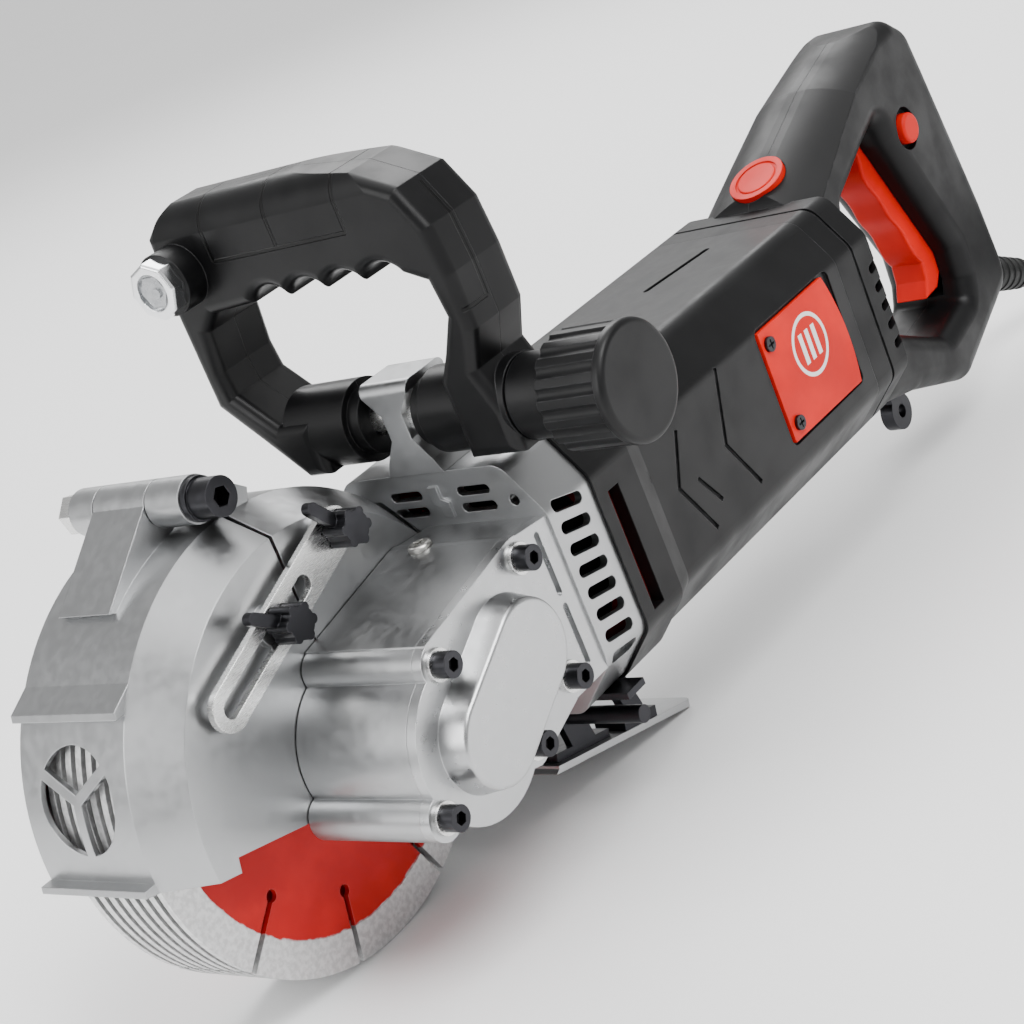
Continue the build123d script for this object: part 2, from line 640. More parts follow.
with BuildPart() as guard_front:
    add(guard_shell())
    with BuildSketch(working(LEFT_OF_FACE)):
        with BuildLine():
            Polyline(
                (0, 0), seam_point(SEAM), (130, 125), (130, FOOT_V), (60, FOOT_V),
                (60, CUT_V), (0, CUT_V), close=True,
            )
        make_face()
    extrude(amount=100, mode=Mode.INTERSECT)
    for near, far, radius in ((LEFT_OF_FACE, FACE_SPLIT, 26), (FACE_SPLIT, -40, 39.5)):
        with BuildSketch(working(near)):
            Circle(radius)
        extrude(amount=near - far, mode=Mode.SUBTRACT)
    # round port with a three-spoke grille
    with BuildSketch(Plane(origin=working(0).origin, x_dir=(0, 1, 0), z_dir=working(0).x_dir)):
        with Locations((PORT_Y, PORT_V)):
            Circle(PORT_R)
            for turn in SPOKES:
                with Locations(Location((0, 0, 0), (0, 0, 1), turn)):
                    with Locations((PORT_R / 2, 0)):
                        Rectangle(PORT_R + 2, 3.6, mode=Mode.SUBTRACT)
    extrude(amount=100, mode=Mode.SUBTRACT)
    # wedge rib across the band
    with BuildSketch(working(BAND_NEAR)):
        with BuildLine():
            Polyline((70.8, 41.0), (79.8, 33.0), (79.8, 30.6), (75.0, 31.5), close=True)
        make_face()
    extrude(amount=BAND_NEAR - GUARD_FAR)
    # foot: a lip along the band's lower edge
    with BuildSketch(working(BAND_NEAR)):
        with BuildLine():
            Polyline((76.5, FOOT_V), (84.0, FOOT_V), (84.0, FOOT_V + 2.2), (80.0, FOOT_V + 3.2),
                     (76.5, FOOT_V + 3.2), close=True)
        make_face()
    extrude(amount=BAND_NEAR - GUARD_FAR)
    # middle hinge knuckle with its strap and gusset
    with BuildSketch(working(KNUCKLE_NEAR)):
        with Locations(HINGE):
            Circle(KNUCKLE_R)
        with BuildLine():
            Polyline((22.0, 82.0), (37.2, 88.0), (60.5, 59.0), (56.0, 58.5), (35.0, 73.4), close=True)
        make_face()
        Circle(GUARD_R - 1.5, mode=Mode.SUBTRACT)
        with Locations(HINGE):
            Circle(PIN_R + RUN, mode=Mode.SUBTRACT)
        with BuildLine():
            Polyline((18, 75), (18, 91), (22.2, 91), (22.2, 75), close=True)
        make_face(mode=Mode.SUBTRACT)
    extrude(amount=KNUCKLE_NEAR - KNUCKLE_FAR)
    # boss for the lower clamp screw
    with BuildSketch(working(BOSS_NEAR)):
        with Locations(ARM_SCREW):
            Circle(7)
    extrude(amount=BOSS_NEAR - FACE_NEAR)
    with BuildSketch(working(BOSS_NEAR + 1)):
        with Locations(ARM_SCREW):
            Circle(SCREW_R + RUN)
    extrude(amount=10, mode=Mode.SUBTRACT)
finish(guard_front, "guard_front")

with BuildPart() as guard_rear:
    add(guard_shell())
    for near, far, kept in ((LEFT_OF_FACE, FACE_SPLIT, 25), (FACE_SPLIT, -40, 37.5)):
        with BuildSketch(working(near)):
            with BuildLine():
                Polyline((0, 0), seam_point(SEAM + 1.2), (200, 200), (200, -200), (-200, -200),
                         (-200, REAR_CUT_V), (-50, REAR_CUT_V), (-50, CUT_V), (0, CUT_V), close=True)
            make_face()
            Circle(kept, mode=Mode.SUBTRACT)
        extrude(amount=near - far, mode=Mode.SUBTRACT)
    # pad that clamps onto the gear housing, and room for the housing's neck
    add(ring(across(HOUSING_FAR, 0, SPINDLE_Z), 25, 24, HOUSING_FAR - FACE_NEAR + GUARD_T))
    with BuildSketch(across(HOUSING_FAR + 1)):
        with Locations((0, SPINDLE_Z)):
            Circle(23.3)
        with Locations((CROSS_X, MOTOR_Z)):
            Circle(14.8)
        with Locations((-50.5, MOTOR_Z)):
            Rectangle(29.6, 42.6)
        with Locations((-66, MOTOR_Z)):
            Rectangle(20, 19)
    extrude(amount=20, mode=Mode.SUBTRACT)
    # outer hinge knuckles and their webs
    for near, far in ((OUTER_NEAR, KNUCKLE_NEAR + 0.4), (KNUCKLE_FAR - 0.4, OUTER_FAR)):
        with BuildSketch(working(near)):
            with Locations(HINGE):
                Circle(KNUCKLE_R)
            with BuildLine():
                Polyline((28.5, 94.9), (8.0, 86.0), (9.0, 81.0), (20.4, 79.6), (27.0, 82.0), close=True)
            make_face()
            with Locations(HINGE):
                Circle(PIN_R, mode=Mode.SUBTRACT)
        extrude(amount=near - far)
    # boss for the upper clamp screw
    with BuildSketch(working(BOSS_NEAR)):
        with Locations(ARM_PIVOT):
            Circle(7)
    extrude(amount=BOSS_NEAR - FACE_NEAR)
    with BuildSketch(working(BOSS_NEAR + 1)):
        with Locations(ARM_PIVOT):
            Circle(SCREW_R + RUN)
    extrude(amount=10, mode=Mode.SUBTRACT)
finish(guard_rear, "guard_rear")

with BuildPart() as guard_hinge_bolt:
    with BuildSketch(working(OUTER_NEAR + 11.5)):
        with Locations(HINGE):
            Circle(6.6)
    extrude(amount=9)
    with BuildSketch(working(OUTER_NEAR + 2.5)):
        with Locations(HINGE):
            Circle(KNUCKLE_R - 0.6)
    extrude(amount=2.5)
    with BuildSketch(working(OUTER_NEAR)):
        with Locations(HINGE):
            Circle(PIN_R)
    extrude(amount=OUTER_NEAR - OUTER_FAR + 9)
    with BuildSketch(working(OUTER_NEAR + 11.5)):
        with Locations(HINGE):
            RegularPolygon(3.5, 6)
    extrude(amount=6, mode=Mode.SUBTRACT)
finish(guard_hinge_bolt, "guard_hinge_bolt")

with BuildPart() as guard_hinge_nut:
    with BuildSketch(working(OUTER_FAR)):
        with Locations(HINGE):
            RegularPolygon(7.2, 6)
            Circle(PIN_R, mode=Mode.SUBTRACT)
    extrude(amount=6.5)
finish(guard_hinge_nut, "guard_hinge_nut")

with BuildPart() as link_arm:
    reach = Vector(*SLOT_END) - Vector(*ARM_PIVOT)
    slope = degrees(atan(reach.Y / reach.X))
    with BuildSketch(working(ARM_NEAR)):
        with Locations(((SLOT_END[0] + ARM_PIVOT[0]) / 2, (SLOT_END[1] + ARM_PIVOT[1]) / 2)):
            SlotCenterToCenter(reach.length, 15, rotation=slope)
        middle = (Vector(*SLOT_END) + Vector(*SLOT_START_AT)) / 2
        with Locations((middle.X, middle.Y)):
            SlotCenterToCenter((Vector(*SLOT_END) - Vector(*SLOT_START_AT)).length, 2 * SLOT_HALF,
                               rotation=slope, mode=Mode.SUBTRACT)
        with Locations(ARM_PIVOT):
            Circle(SCREW_R + RUN, mode=Mode.SUBTRACT)
    extrude(amount=ARM_T)
finish(link_arm, "link_arm")


def clamp_screw(at, turn):
    """A hand screw: threaded shank, lobed head and a short lever."""
    with BuildPart() as screw:
        with BuildSketch(working(ARM_NEAR + 9.5)):
            with Locations(at):
                Circle(5.4)
                with PolarLocations(5.0, 6):
                    Circle(1.7)
        extrude(amount=9.2)
        with BuildSketch(working(ARM_NEAR + 5.5)):
            with Locations(at):
                with Locations(Location((0, 0, 0), (0, 0, 1), turn)):
                    with Locations((9.5, 0)):
                        SlotOverall(17, 4.2)
        extrude(amount=3.4)
        with BuildSketch(working(ARM_NEAR + 1)):
            with Locations(at):
                Circle(SCREW_R)
        extrude(amount=10.5)
    return screw.part


with BuildPart() as upper_clamp_screw:
    add(clamp_screw(ARM_PIVOT, 35))
finish(upper_clamp_screw, "upper_clamp_screw")

with BuildPart() as lower_clamp_screw:
    add(clamp_screw(ARM_SCREW, 20))
finish(lower_clamp_screw, "lower_clamp_screw")

# =====================================================================
# base plate
# =====================================================================

c, s = cos(radians(TILT)), sin(radians(TILT))
PLATE_REAR = (SOLE_DROP * c - SPINDLE_Z) / s        # rear edge of the sole touches the floor
PLATE_FRONT, PLATE_T = -78.0, 2.5
PLATE_RIGHT, PLATE_LEFT = -44.0, 54.0
MOUNT_Z = MOTOR_Z - CASE_HALF - 1                    # underside of the fan housing

with BuildPart() as base_plate:
    with BuildSketch(working(PLATE_LEFT)):
        with BuildLine():
            Polyline(
                (PLATE_FRONT, 1.5 - SOLE_DROP), (PLATE_FRONT + 2, -SOLE_DROP), (PLATE_REAR, -SOLE_DROP),
                (PLATE_REAR, PLATE_T - SOLE_DROP), (PLATE_FRONT, PLATE_T - SOLE_DROP), close=True,
            )
        make_face()
    extrude(amount=PLATE_LEFT - PLATE_RIGHT)
    corners = base_plate.edges().filter_by(lambda e: 2 < e.length < 3.1 and abs(e.tangent_at(0.5).Y) < 0.1)
    corners = corners.filter_by(lambda e: abs(e.tangent_at(0.5).Z) > 0.9)
    fillet(corners, 5)
    # stiffening flange along the right edge, folded up
    with BuildSketch(working(PLATE_RIGHT + 2.2)):
        with BuildLine():
            Polyline(
                (PLATE_FRONT - 8, -SOLE_DROP + 1), (PLATE_REAR + 10, -SOLE_DROP + 1),
                (PLATE_REAR + 16, -SOLE_DROP + 9), (PLATE_FRONT - 14, -SOLE_DROP + 9), close=True,
            )
        make_face()
    extrude(amount=2.2)
finish(base_plate, "base_plate")

with BuildPart() as bracket_reach:   # everything above the plate's upper face
    with BuildSketch(working(120)):
        with BuildLine():
            Polyline((-170, PLATE_T - SOLE_DROP), (0, PLATE_T - SOLE_DROP), (0, 60), (-170, 60), close=True)
        make_face()
    extrude(amount=240)

CHEEKS = (50.5, 26.0)
with BuildPart() as base_bracket:
    for near in CHEEKS:
        with BuildSketch(across(near)):
            with BuildLine():
                Polyline((-77.5, MOUNT_Z), (-88, MOUNT_Z), (-96, 0), (-82, 0), close=True)
            make_face()
        extrude(amount=3)
    with BuildSketch(across(86)):
        with BuildLine():
            Polyline((-77.5, MOUNT_Z), (-88, MOUNT_Z), (-88, MOUNT_Z - 2.5), (-77.5, MOUNT_Z - 2.5),
                     close=True)
        make_face()
    extrude(amount=64)
    # foot on the plate
    with BuildSketch(working(CHEEKS[0])):
        with BuildLine():
            low = PLATE_T - SOLE_DROP
            Polyline((-82, low), (-112, low), (-112, low + 3), (-82, low + 3), close=True)
        make_face()
    extrude(amount=CHEEKS[0] - CHEEKS[1] + 3)
    add(bracket_reach.part, mode=Mode.INTERSECT)
    # tie bar across the bracket
    add(rod(across(84, -84, 33), 3.2, 66))
finish(base_bracket, "base_bracket")

with BuildPart() as base_rear_arm:
    with BuildSketch(across(53.5)):
        with BuildLine():
            Polyline((-104, MOTOR_Z - CASE_HALF - 2.2), (-112, MOTOR_Z - CASE_HALF - 2.2), (-122, 0), (-113, 0),
                     close=True)
        make_face()
    extrude(amount=4)
    with BuildSketch(working(53.5)):
        with BuildLine():
            Polyline((-118, low), (-137, low), (-137, low + 4), (-118, low + 4), close=True)
        make_face()
    extrude(amount=14)
    add(bracket_reach.part, mode=Mode.INTERSECT)
finish(base_rear_arm, "base_rear_arm")

# =====================================================================
# front handle, bracket, bar, knob and lamp
# =====================================================================

HANDLE_DEEP = 15.0                  # half the handle's depth along x
SLEEVE_R = 14.5
LEG_LEFT, LEG_RIGHT, GRIP_TOP = -22.5, 102.0, 247.0
WAVES, WAVE_FROM, WAVE_PITCH, WAVE_LOW, WAVE_HIGH = 4, 15.0, 17.0, 209.0, 213.8
LAMP_Y, LAMP_Z = -10.0, 224.0
BUTTON_Z = 235.0
HANDLE_FILLET = 4.0
GRIP_ROUND = 12.0                   # radius along the grip's upper edges

with BuildPart() as handle_shape:    # both shells of the front handle together
    with BuildSketch(along(BAR_X - HANDLE_DEEP)) as outline:
        with BuildLine():
            Polyline(
                (LEG_LEFT, 175), (LEG_LEFT, 212), (-20.5, 238), (-10, 246.5), (45, GRIP_TOP),
                (76, 243.5), (93, 235.5), (100.5, 222), (LEG_RIGHT, 206), (LEG_RIGHT, 187),
                (96.5, 174), (LEG_RIGHT, 160), (LEG_RIGHT, 144.5), (80, 144.5), (80, 172),
                (86, 181), (93, 193), (91.5, 205), (WAVE_FROM + WAVES * WAVE_PITCH, WAVE_LOW),
            )
            for i in reversed(range(WAVES)):
                start = WAVE_FROM + WAVE_PITCH * i
                ThreePointArc(
                    (start + WAVE_PITCH, WAVE_LOW), (start + WAVE_PITCH / 2, WAVE_HIGH), (start, WAVE_LOW)
                )
            Polyline(
                (WAVE_FROM, WAVE_LOW), (-5, 208), (-11.5, 202), (-13.5, 187), (-12.5, 178), (1, 165),
                (16, 165), (16, 145), (6, 145), (-8, 160), (LEG_LEFT, 175),
            )
        make_face()
        corners = outline.vertices()
        cusps = [v for v in corners if abs(v.Z - WAVE_LOW) < 0.01]
        window = [v for v in corners if 175 < v.Z < 208.5 and -14 < v.Y - ROW_Y < 94]
        heel = [v for v in corners if v.Z > 210 and v.Y - ROW_Y < -9]
        crown = [v for v in corners if v.Z > 200 and v.Y - ROW_Y > 95 or v.Z > 220 and v.Y - ROW_Y > 75]
        waist = [v for v in corners if 150 < v.Z < 200 and not -21 < v.Y - ROW_Y < 94]
        fillet(cusps, 2.0)
        fillet(window, 4)
        fillet(heel, 13)
        fillet(crown, 26)
        fillet(waist, 5)
    extrude(amount=2 * HANDLE_DEEP)
    ends = handle_shape.faces().filter_by(lambda f: abs(f.normal_at().X) > 0.99)
    fillet(ends.edges(), HANDLE_FILLET)
    for side in (-1, 1):
        face, low = BAR_X + side * (HANDLE_DEEP + 0.1), GRIP_TOP - GRIP_ROUND
        inner = face - side * GRIP_ROUND
        turned = GRIP_ROUND * sqrt(0.5)
        with BuildSketch(across(LEG_RIGHT + 5)):
            with BuildLine():
                ThreePointArc((face, low), (inner + side * turned, low + turned), (inner, GRIP_TOP))
                Polyline((inner, GRIP_TOP), (inner, GRIP_TOP + 5), (face + 5 * side, GRIP_TOP + 5),
                         (face + 5 * side, low), (face, low))
            make_face()
        extrude(amount=LEG_RIGHT - LEG_LEFT + 10, mode=Mode.SUBTRACT)
    # sleeves round the bar on both sides of the bracket
    add(rod(across(36, BAR_X, BAR_Z), 12.0, 7))
    add(rod(across(31, BAR_X, BAR_Z), SLEEVE_R, 28))
    add(rod(across(67, BAR_X, BAR_Z), 12.0, 7))
    add(rod(across(LEG_RIGHT, BAR_X, BAR_Z), SLEEVE_R, LEG_RIGHT - 65))
    # lamp boss
    add(rod(along(BAR_X + 6, LAMP_Y, LAMP_Z), 11.0, 18))
    # hollow
    with BuildSketch(along(BAR_X - HANDLE_DEEP + 6)):
        with BuildLine():
            Polyline((-13, 215), (-13, 236), (-8, 240.5), (45, 241), (74, 237.5), (88, 231), (93, 220),
                     (88, 217), (6, 219.5), (0, 215), close=True)
        make_face()
    extrude(amount=2 * HANDLE_DEEP - 12, mode=Mode.SUBTRACT)
    add(rod(across(LEG_RIGHT + 1, BAR_X, BAR_Z), BAR_R + RUN, LEG_RIGHT - 0.5), mode=Mode.SUBTRACT)
    add(rod(along(BAR_X + 9, LAMP_Y, LAMP_Z), 8.0, 20), mode=Mode.SUBTRACT)

for label, kept in (("front_handle_front", Keep.TOP), ("front_handle_back", Keep.BOTTOM)):
    with BuildPart() as front_handle:
        add(handle_shape.part)
        split(bisect_by=along(BAR_X), keep=kept)
        add(rod(across(-9, BAR_X, BUTTON_Z), 5.3, 30), mode=Mode.SUBTRACT)
    finish(front_handle, label)

with BuildPart() as handle_bracket:
    with BuildSketch(along(-86, MOTOR_Y)):
        with BuildLine():
            base = MOTOR_Z + CASE_HALF + 1
            Polyline((-12.5, base), (12.5, base), (10, 144), (4.5, 152), (4.5, 161), (10, 168), (11, 172),
                     (-11, 172), (-10, 168), (-4.5, 161), (-4.5, 152), (-10, 144), close=True)
        make_face()
    extrude(amount=22)
    add(rod(across(MOTOR_Y + 20, BAR_X, BAR_Z), BAR_R, 40), mode=Mode.SUBTRACT)
    top = handle_bracket.edges().filter_by(Axis.Y).group_by(Axis.Z)[-1]
    fillet(top, 4)
finish(handle_bracket, "handle_bracket")

with BuildPart() as handle_bar:
    add(rod(across(140, BAR_X, BAR_Z), BAR_R, 138))
finish(handle_bar, "handle_bar")

FLUTES, KNOB_NEAR, KNOB_FAR, KNOB_R = 18, 145.5, 119.0, 19.6
with BuildPart() as clamp_knob:
    with BuildSketch(across(KNOB_NEAR - 3.6, BAR_X, BAR_Z)):
        Circle(KNOB_R - 0.3)
        with PolarLocations(KNOB_R + 1.2, FLUTES):
            Circle(2.5, mode=Mode.SUBTRACT)
    extrude(amount=KNOB_NEAR - 3.6 - KNOB_FAR)
    add(rod(across(KNOB_NEAR, BAR_X, BAR_Z), KNOB_R, 3.6))
    fillet(clamp_knob.faces().sort_by(Axis.Y)[-1].edges(), 2.2)
    add(rod(across(KNOB_FAR + 0.5, BAR_X, BAR_Z), 14.0, KNOB_FAR + 0.5 - LEG_RIGHT - 0.6))
    add(rod(across(140.2, BAR_X, BAR_Z), BAR_R + RUN, 45), mode=Mode.SUBTRACT)
finish(clamp_knob, "clamp_knob")

LAMP_BACK = BAR_X + 24.0
with BuildPart() as lamp_bezel:
    with BuildSketch(along(LAMP_BACK, LAMP_Y, LAMP_Z)):
        RegularPolygon(9.4, 8, major_radius=False)
        Circle(6.6, mode=Mode.SUBTRACT)
    extrude(amount=6)
    fillet(lamp_bezel.faces().sort_by(Axis.X)[-1].outer_wire().edges(), 1.0)
    with BuildSketch(along(LAMP_BACK - 8, LAMP_Y, LAMP_Z)):
        Circle(7.9)
        Circle(6.6, mode=Mode.SUBTRACT)
    extrude(amount=8)
finish(lamp_bezel, "lamp_bezel")

with BuildPart() as lamp_lens:
    add(rod(along(LAMP_BACK - 8, LAMP_Y, LAMP_Z), 6.6, 12.5))
    with BuildSketch(along(LAMP_BACK + 4.5, LAMP_Y, LAMP_Z)):
        RegularPolygon(6.0, 6)
    extrude(amount=0.7)
    add(rod(along(LAMP_BACK + 5.2, LAMP_Y + 1.5, LAMP_Z - 0.5), 1.8, 0.8))
finish(lamp_lens, "lamp_lens")

with BuildPart() as lamp_button:
    add(rod(across(-18.0, BAR_X, BUTTON_Z), 5.0, 8.5))
    fillet(lamp_button.faces().sort_by(Axis.Y)[0].edges(), 1.5)
    add(rod(across(-11.5, BAR_X, BUTTON_Z), 2.6, 8))
finish(lamp_button, "lamp_button")

# =====================================================================
# rear handle, trigger and lock button
# =====================================================================

HANDLE_WIDE, HANDLE_SLIM = (-280.0, 30.0), (-470.0, 16.0)      # (x, half width)
TRIGGER_PIVOT = (-377.0, 139.0)
LOCK, LOCK_R = (-387.5, 132.0), 6.5
CAP = (-304.0, 146.8)
CAP_R = 12.0
CAP_LEAN = 22.5                     # the cap's axis leans forward from the vertical
HANDLE_LEFT = MOTOR_Y + 40.0
HANDLE_SCREWS = [(-345, 145), (-345, 43), (-422, 50), (-404, 155)]
EXIT_LEAN = 23.5                    # the cord leaves the handle rearward, this far below level
GLAND_AT = (-435.4, 46.5)
GLAND = Plane(
    origin=spot(GLAND_AT[0], MOTOR_Y, GLAND_AT[1]), x_dir=(0, 1, 0),
    z_dir=(-cos(radians(EXIT_LEAN)), 0, -sin(radians(EXIT_LEAN))),
)
GLAND_LONG = 51.0


def cap_plane(rise):
    """Plane of the red cap's round face, this far above the handle's back."""
    lean = Vector(sin(radians(CAP_LEAN)), 0, cos(radians(CAP_LEAN)))
    return Plane(origin=spot(CAP[0], MOTOR_Y, CAP[1]) + lean * rise, x_dir=(0, 1, 0), z_dir=lean)


def flank(x):
    """Half the rear handle's width at x."""
    (wide_x, wide), (slim_x, slim) = HANDLE_WIDE, HANDLE_SLIM
    return wide + (slim - wide) * (wide_x - x) / (wide_x - slim_x)


ARM_BACK = [(-290, 141), (-325, 155.5), (-352, 166.5), (-385, 175.5)]      # upper arm's back, at the seam
with BuildPart() as rear_shape:      # both shells of the rear handle together
    with BuildSketch(across(HANDLE_LEFT)) as outline:
        with BuildLine():
            Polyline(
                *ARM_BACK, (-404, 176.5), (-418, 167),
                (-422, 148), (-429, 112), (-435, 80), (-438, 54), (-438, 40), (-374, 21), (-330, 37),
                (-290, 47), close=True,
            )
        make_face()
        fillet([v for v in outline.vertices() if v.X - ROW_X < -300], 12)
    extrude(amount=80)
    with BuildSketch(across(HANDLE_LEFT)) as window:
        with BuildLine():
            Polyline(
                (-316, 70), (-364, 46), (-394, 50), (-398, 59), (-398.5, 72), (-384.5, 102), (-370.5, 132),
                (-367, 143.5), (-348, 137.5), (-316, 125.5), close=True,
            )
        make_face()
        fillet(window.vertices().filter_by(lambda v: v.Z > 70), 5)
        fillet(window.vertices().filter_by(lambda v: v.Z < 70), 4)
    extrude(amount=80, mode=Mode.SUBTRACT)
    with BuildSketch(level(0, 0, MOTOR_Y)):
        with BuildLine():
            (wide_x, wide), (slim_x, slim) = HANDLE_WIDE, HANDLE_SLIM
            Polyline((wide_x, -wide), (wide_x, wide), (slim_x, slim), (slim_x, -slim), close=True)
        make_face()
    extrude(amount=250, mode=Mode.INTERSECT)
    flanks = rear_shape.faces().filter_by(lambda f: abs(f.normal_at().Y) > 0.9)
    fillet(flanks.edges().filter_by(lambda e: e.center().X - ROW_X < -291), 8)
    # rounded back of the upper arm, drawn along each straight of its outline
    for (x, z), (far_x, far_z) in zip(ARM_BACK[:-1], ARM_BACK[1:]):
        heading = Vector(far_x - x, 0, far_z - z).normalized()
        with BuildSketch(Plane(origin=spot(x, MOTOR_Y, z) - heading * 30, x_dir=(0, 1, 0), z_dir=heading)):
            with BuildLine():
                ThreePointArc((-34, 15.5), (0, -0.2), (34, 15.5))
                Polyline((34, 15.5), (34, -20), (-34, -20), (-34, 15.5))
            make_face()
        extrude(amount=100, mode=Mode.SUBTRACT)
    # collar behind the motor case, drawn in to the handle
    with BuildSketch(along(COLLAR_REAR + 8, MOTOR_Y, MOTOR_Z)):
        add(octagon(CASE_HALF))
    extrude(amount=CASE_REAR - COLLAR_REAR - 8)
    shoulder = [(COLLAR_REAR + 8, CASE_HALF), (COLLAR_REAR - 2, 39.0), (-314.0, 30.0)]
    for (fore, fore_half), (rear, rear_half) in zip(shoulder[:-1], shoulder[1:]):
        with BuildSketch(along(fore, MOTOR_Y, MOTOR_Z)):
            add(octagon(fore_half))
        with BuildSketch(along(rear, MOTOR_Y, MOTOR_Z)):
            add(octagon(rear_half))
        loft()
    # collar's hollow over the commutator end
    with BuildSketch(along(-296, MOTOR_Y, MOTOR_Z)):
        add(octagon(CASE_HALF - WALL))
    extrude(amount=CASE_REAR + 296, mode=Mode.SUBTRACT)
    # vents round the collar's rear corners
    for y in (HANDLE_LEFT + 8, MOTOR_Y - CASE_HALF + 14):
        with BuildSketch(across(y)):
            with Locations(*[(COLLAR_REAR + 4, 108.0 - 8.0 * i) for i in range(5)]):
                SlotOverall(20, 3.6, rotation=-12)
        extrude(amount=16, mode=Mode.SUBTRACT)
    # groove round the collar
    with BuildSketch(along(-282, MOTOR_Y, MOTOR_Z)):
        add(octagon(CASE_HALF + 1))
        add(octagon(CASE_HALF - 0.9), mode=Mode.SUBTRACT)
    extrude(amount=1.8, mode=Mode.SUBTRACT)
    # hollow in the grip, slot for the trigger, seats for the cap and the lock button
    with BuildSketch(across(MOTOR_Y + 11)):
        with BuildLine():
            Polyline((-393, 138), (-411, 148), (-414, 140), (-421, 108), (-428, 80), (-430, 64), (-412, 64),
                     (-404, 100), (-398, 125), close=True)
        make_face()
    extrude(amount=22, mode=Mode.SUBTRACT)
    with BuildSketch(across(MOTOR_Y + 8.4)):
        with BuildLine():
            Polyline((-362, 53), (-364.5, 146), (-397, 148), (-402, 125), (-407, 100), (-417, 77),
                     (-417, 53), close=True)
        make_face()
    extrude(amount=16.8, mode=Mode.SUBTRACT)
    add(rod(across(HANDLE_LEFT, *LOCK), LOCK_R + 0.3, HANDLE_LEFT - 57.5), mode=Mode.SUBTRACT)
    add(rod(across(HANDLE_LEFT, *LOCK), LOCK_R + 2.7, HANDLE_LEFT - 66.5), mode=Mode.SUBTRACT)
    add(rod(across(MOTOR_Y + 10, *TRIGGER_PIVOT), 2.5 + RUN, 20), mode=Mode.SUBTRACT)
    add(rod(cap_plane(-3.1), CAP_R + 0.2, 20), mode=Mode.SUBTRACT)
    add(rod(GLAND, 6.0, 12), mode=Mode.SUBTRACT)
    add(rod(GLAND.offset(6), 7.2, 12), mode=Mode.SUBTRACT)
    for x, z in HANDLE_SCREWS:
        add(rod(across(MOTOR_Y - flank(x) + 2, x, z), 3.5, 10), mode=Mode.SUBTRACT)
        add(rod(across(MOTOR_Y + 6, x, z), 1.4, 40), mode=Mode.SUBTRACT)

for label, kept in (("rear_handle_left", Keep.BOTTOM), ("rear_handle_right", Keep.TOP)):
    with BuildPart() as rear_handle:
        add(rear_shape.part)
        split(bisect_by=across(MOTOR_Y), keep=kept)
    finish(rear_handle, label)

with BuildPart() as handle_screws:
    for x, z in HANDLE_SCREWS:
        face = MOTOR_Y - flank(x)
        add(rod(across(face + 2, x, z), 3.3, 1.8))
        add(rod(across(MOTOR_Y + 6, x, z), 1.4, 4 + flank(x)))
        with BuildSketch(across(face + 1.2, x, z)):
            RegularPolygon(1.5, 6)
        extrude(amount=2, mode=Mode.SUBTRACT)
finish(handle_screws, "handle_screws")

with BuildPart() as handle_cap:
    add(rod(cap_plane(-3), CAP_R, 4))
    with BuildSketch(cap_plane(1)):
        Circle(0.78 * CAP_R)
        Circle(0.70 * CAP_R, mode=Mode.SUBTRACT)
    extrude(amount=-0.6, mode=Mode.SUBTRACT)
    fillet(handle_cap.faces().sort_by(Axis.Z)[-1].outer_wire().edges(), 0.5)
finish(handle_cap, "handle_cap")

with BuildPart() as trigger:
    with BuildSketch(across(MOTOR_Y + 8)):
        with BuildLine():
            Polyline((-383, 57), (-387, 64), (-388, 72))
            Spline((-388, 72), (-382.5, 83), (-380.5, 90), (-375.0, 99), (-372.5, 107), (-367.8, 115),
                   (-366.5, 127))
            Polyline((-366.5, 127), (-367, 137), (-371, 143), (-384, 143.5), (-390.5, 138), (-392, 127),
                     (-397, 101), (-405, 77), (-402, 65), (-394, 57.5), (-383, 57))
        make_face()
    extrude(amount=16)
    sides = trigger.faces().filter_by(lambda f: abs(f.normal_at().Y) > 0.99)
    fillet(sides.edges(), 1.2)
    add(rod(across(MOTOR_Y + 9.8, *TRIGGER_PIVOT), 2.5, 19.6))
finish(trigger, "trigger")

with BuildPart() as lock_button:
    add(rod(across(72.5, *LOCK), LOCK_R, 11))
    fillet(lock_button.faces().sort_by(Axis.Y)[-1].edges(), 1.4)
finish(lock_button, "lock_button")

with BuildPart() as switch_module:
    with BuildSketch(across(MOTOR_Y + 11)):
        with Locations((-410.5, 115)):
            Rectangle(11, 26)
    extrude(amount=22)
    add(rod(along(-406, MOTOR_Y, 122), 2.0, 7.8))
finish(switch_module, "switch_module")

with BuildPart() as brush_holders:
    add(ring(along(WEB_FRONT, MOTOR_Y, MOTOR_Z), STATOR_R - 0.05, 18, 3))
    for side in (-1, 1):
        with BuildSketch(along(WEB_FRONT + 3, MOTOR_Y + 27.7 * side, MOTOR_Z)):
            Rectangle(24.6, 10)
        extrude(amount=27)
finish(brush_holders, "brush_holders")

with BuildPart() as housing_screw:
    with BuildSketch(level(SCREW_AT[2], SCREW_AT[0], SCREW_AT[1])):
        Circle(4.2)
    extrude(amount=2.4)
    fillet(housing_screw.edges().sort_by(Axis.Z)[-1], 1.2)
    with BuildSketch(level(SCREW_AT[2], SCREW_AT[0], SCREW_AT[1])):
        Circle(2.0)
    extrude(amount=-10)
    with BuildSketch(level(SCREW_AT[2] + 1, SCREW_AT[0], SCREW_AT[1])):
        Rectangle(5, 1)
        Rectangle(1, 5)
    extrude(amount=2, mode=Mode.SUBTRACT)
finish(housing_screw, "housing_screw")

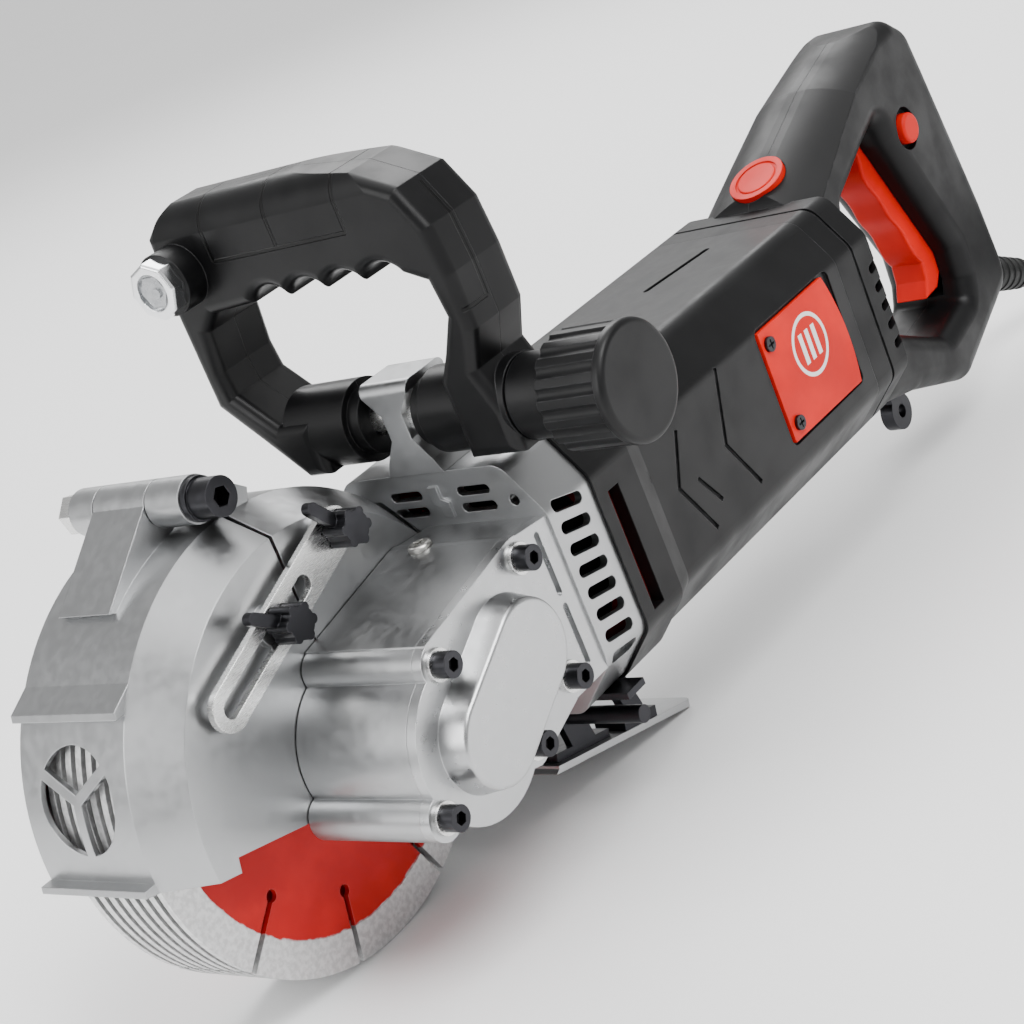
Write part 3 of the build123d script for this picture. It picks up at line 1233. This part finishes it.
HANG_AT = (-343.0, 23.0)
with BuildPart() as hang_ring:
    with BuildSketch(across(MOTOR_Y + 3)):
        with Locations(HANG_AT):
            Circle(8)
        with Locations((HANG_AT[0], HANG_AT[1] + 9)):
            Rectangle(11, 12)
        with Locations(HANG_AT):
            Circle(2.9, mode=Mode.SUBTRACT)
    extrude(amount=6)
    add(rear_shape.part, mode=Mode.SUBTRACT)
finish(hang_ring, "hang_ring")

# =====================================================================
# cord, its coil and its plug
# =====================================================================

with BuildPart() as cord_gland:
    add(rod(GLAND, 6.0, 7))
    add(rod(GLAND.offset(6), 7.2, 10))
    with BuildSketch(GLAND.offset(11)):
        Circle(8.4)
    with BuildSketch(GLAND.offset(GLAND_LONG)):
        Circle(6.4)
    loft()
    for i in range(5):
        add(rod(GLAND.offset(17 + 6 * i), 8.6 - 0.3 * i, 2.4))
finish(cord_gland, "cord_gland")

TIE_T = 1.2
CORD_Z = CORD_R + TIE_T + 0.2        # the cord's axis where it lies beside the coil
TURN_IN, TURN_OUT = 35.0, 66.9      # innermost and outermost turns, to the cord's axis
COIL_WIDE = TURN_OUT - TURN_IN + 2 * CORD_R
CORD_TOP = CORD_Z + 2 * CORD_R       # the same for the coil's upper layer
LEAD = 36.0                         # straight length before the cord touches the coil
EXIT_X = GLAND_AT[0] - GLAND_LONG * cos(radians(EXIT_LEAN))
EXIT_Z = GLAND_AT[1] - GLAND_LONG * sin(radians(EXIT_LEAN))
DROP = (EXIT_Z - CORD_Z) / sin(radians(EXIT_LEAN))
FLOOR_X = EXIT_X - DROP * cos(radians(EXIT_LEAN))
COIL_X = FLOOR_X - DROP - LEAD
COIL_Y = MOTOR_Y + TURN_OUT
CORD_BEND = 0.45 * DROP / tan(radians(EXIT_LEAN / 2))

with BuildPart() as power_cord:
    with BuildLine():
        FilletPolyline(
            spot(EXIT_X, MOTOR_Y, EXIT_Z), spot(FLOOR_X, MOTOR_Y, CORD_Z),
            spot(COIL_X + LEAD, MOTOR_Y, CORD_Z), radius=CORD_BEND,
        )
    with BuildSketch(GLAND.offset(GLAND_LONG)):
        Circle(CORD_R)
    sweep()
finish(power_cord, "power_cord")

with BuildPart() as cord_coil:
    with BuildSketch(Plane(origin=spot(COIL_X, COIL_Y, 0), x_dir=(1, 0, 0), z_dir=(0, -1, 0))):
        with Locations(((TURN_IN + TURN_OUT) / 2, (CORD_Z + CORD_TOP) / 2)):
            RectangleRounded(COIL_WIDE, 4 * CORD_R, CORD_R - 0.1)
    revolve(axis=Axis(spot(COIL_X, COIL_Y, 0), (0, 0, 1)))
    # the cord's own way in at floor level and out to the plug on top
    add(rod(along(COIL_X, MOTOR_Y, CORD_Z), CORD_R, LEAD))
    add(rod(along(COIL_X, COIL_Y + TURN_OUT, CORD_TOP), CORD_R, LEAD))
finish(cord_coil, "cord_coil")

PLUG_R, PIN_GAP = 18.5, 19.0
PLUG_X, PLUG_Y, PLUG_Z = COIL_X + LEAD, COIL_Y + TURN_OUT, PLUG_R + 0.2
with BuildPart() as cord_plug:
    with BuildSketch(along(PLUG_X, PLUG_Y, CORD_TOP)):
        Circle(5.2)
    with BuildSketch(along(PLUG_X + 22, PLUG_Y, PLUG_Z)):
        Circle(8.5)
    with BuildSketch(along(PLUG_X + 34, PLUG_Y, PLUG_Z)):
        Circle(PLUG_R)
    loft()
    add(rod(along(PLUG_X + 34, PLUG_Y, PLUG_Z), PLUG_R, 17))
    # flats on both sides of the face
    for side in (-1, 1):
        with BuildSketch(along(PLUG_X + 36, PLUG_Y + side * (PLUG_R + 3), PLUG_Z)):
            Rectangle(10, 12)
        extrude(amount=20, mode=Mode.SUBTRACT)
    # two round pins
    with BuildSketch(along(PLUG_X + 51, PLUG_Y, PLUG_Z)):
        with Locations((-PIN_GAP / 2, 0), (PIN_GAP / 2, 0)):
            Circle(2.4)
    extrude(amount=19)
finish(cord_plug, "cord_plug")

with BuildPart() as cord_tie:        # strap round all turns, on the side away from the tool
    with BuildSketch(across(COIL_Y + 4, COIL_X - (TURN_IN + TURN_OUT) / 2, (CORD_Z + CORD_TOP) / 2)):
        RectangleRounded(COIL_WIDE + 0.8 + 2 * TIE_T, 4 * CORD_R + 2 * TIE_T, 3)
        Rectangle(COIL_WIDE + 0.8, 4 * CORD_R, mode=Mode.SUBTRACT)
    extrude(amount=8)
finish(cord_tie, "cord_tie")
